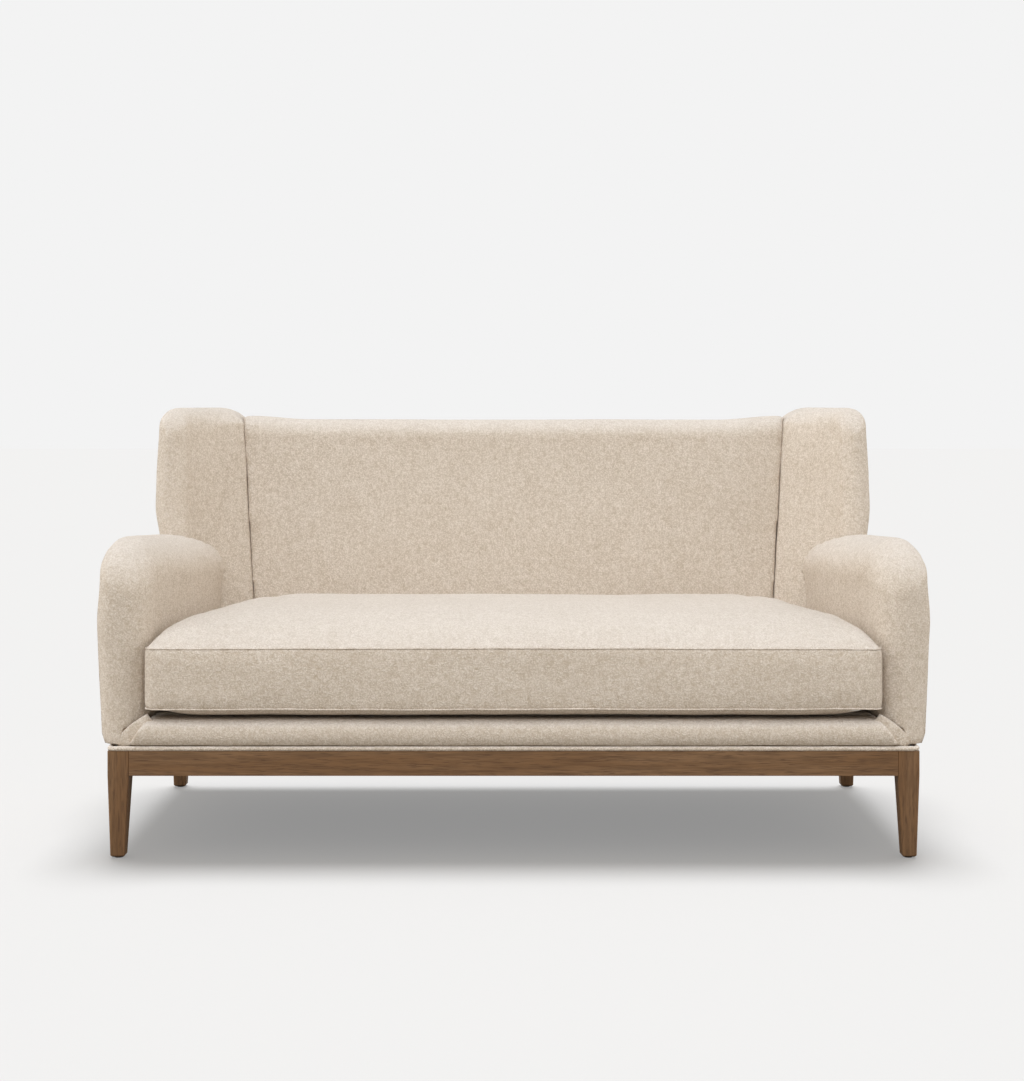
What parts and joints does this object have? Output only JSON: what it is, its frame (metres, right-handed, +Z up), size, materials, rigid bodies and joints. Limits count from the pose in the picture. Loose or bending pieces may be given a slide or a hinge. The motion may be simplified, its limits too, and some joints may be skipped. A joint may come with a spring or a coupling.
{
  "type": "high back settee",
  "caption": "Two-seat settee with winged high back, padded arms, loose bench cushion and tapered wooden legs.",
  "frame": {"origin": "on the floor, under the centre of the footprint", "axes": "+X across the settee, to the right when seen from the front; +Y to the rear; +Z up"},
  "size_m": [1.7996, 0.8629, 0.9716],
  "materials": {
    "show_wood": "oak, matte oiled, medium brown, fine straight grain",
    "frame_wood": "planed beech, bare",
    "plywood": "birch plywood, bare",
    "steel": "zinc plated",
    "webbing": "woven elastic webbing",
    "deck_cloth": "plain cotton over felt",
    "dust_cloth": "thin non-woven cloth",
    "boucle": "off-white boucle, small soft loops",
    "fibre_wrap": "polyester fibre",
    "foam": "polyurethane foam",
    "zip_coil": "nylon coil",
    "zip_metal": "die-cast, no pull"
  },
  "bodies": {
    "body": {"leg_front_right": "show_wood", "leg_front_left": "show_wood", "leg_rear_right": "show_wood", "leg_rear_left": "show_wood", "apron_front": "show_wood", "apron_rear": "show_wood", "apron_side_right": "show_wood", "apron_side_left": "show_wood", "base_corner_braces": "frame_wood", "seat_rail_front": "frame_wood", "seat_rail_rear": "frame_wood", "seat_rail_side_right": "frame_wood", "seat_rail_side_left": "frame_wood", "seat_stretcher": "frame_wood", "frame_corner_blocks": "frame_wood", "arm_post_right": "frame_wood", "arm_post_left": "frame_wood", "arm_rail_right": "frame_wood", "arm_rail_left": "frame_wood", "back_post_right": "frame_wood", "back_post_left": "frame_wood", "back_top_rail": "frame_wood", "back_lower_rail": "frame_wood", "back_upright": "frame_wood", "wing_board_right": "plywood", "wing_board_left": "plywood", "base_screws": "steel", "leg_glides": "steel", "seat_webbing_long": "webbing", "seat_webbing_cross": "webbing", "back_webbing": "webbing", "seat_deck": "deck_cloth", "dust_cover": "dust_cloth", "inside_back": "boucle", "wing_pad_right": "boucle", "wing_pad_left": "boucle", "arm_pad_right": "boucle", "arm_pad_left": "boucle", "outside_arm_right": "boucle", "outside_arm_left": "boucle", "outside_wing_right": "boucle", "outside_wing_left": "boucle", "outside_back": "boucle", "front_border": "boucle", "base_welt": "boucle"},
    "seat_cushion": {"cushion_cover": "boucle", "cushion_wrap": "fibre_wrap", "cushion_core": "foam", "cushion_zip": "zip_coil"},
    "zip_slider": {"zip_slider": "zip_metal"}
  },
  "joints": [
    {"name": "cushion_lift", "type": "slide", "parent": "body", "child": "seat_cushion", "axis": [0, 0, 1], "range_m": [0, 0.7]},
    {"name": "zip_slide", "type": "slide", "parent": "seat_cushion", "child": "zip_slider", "axis": [-1, 0, 0], "range_m": [0, 1.02]}
  ]
}
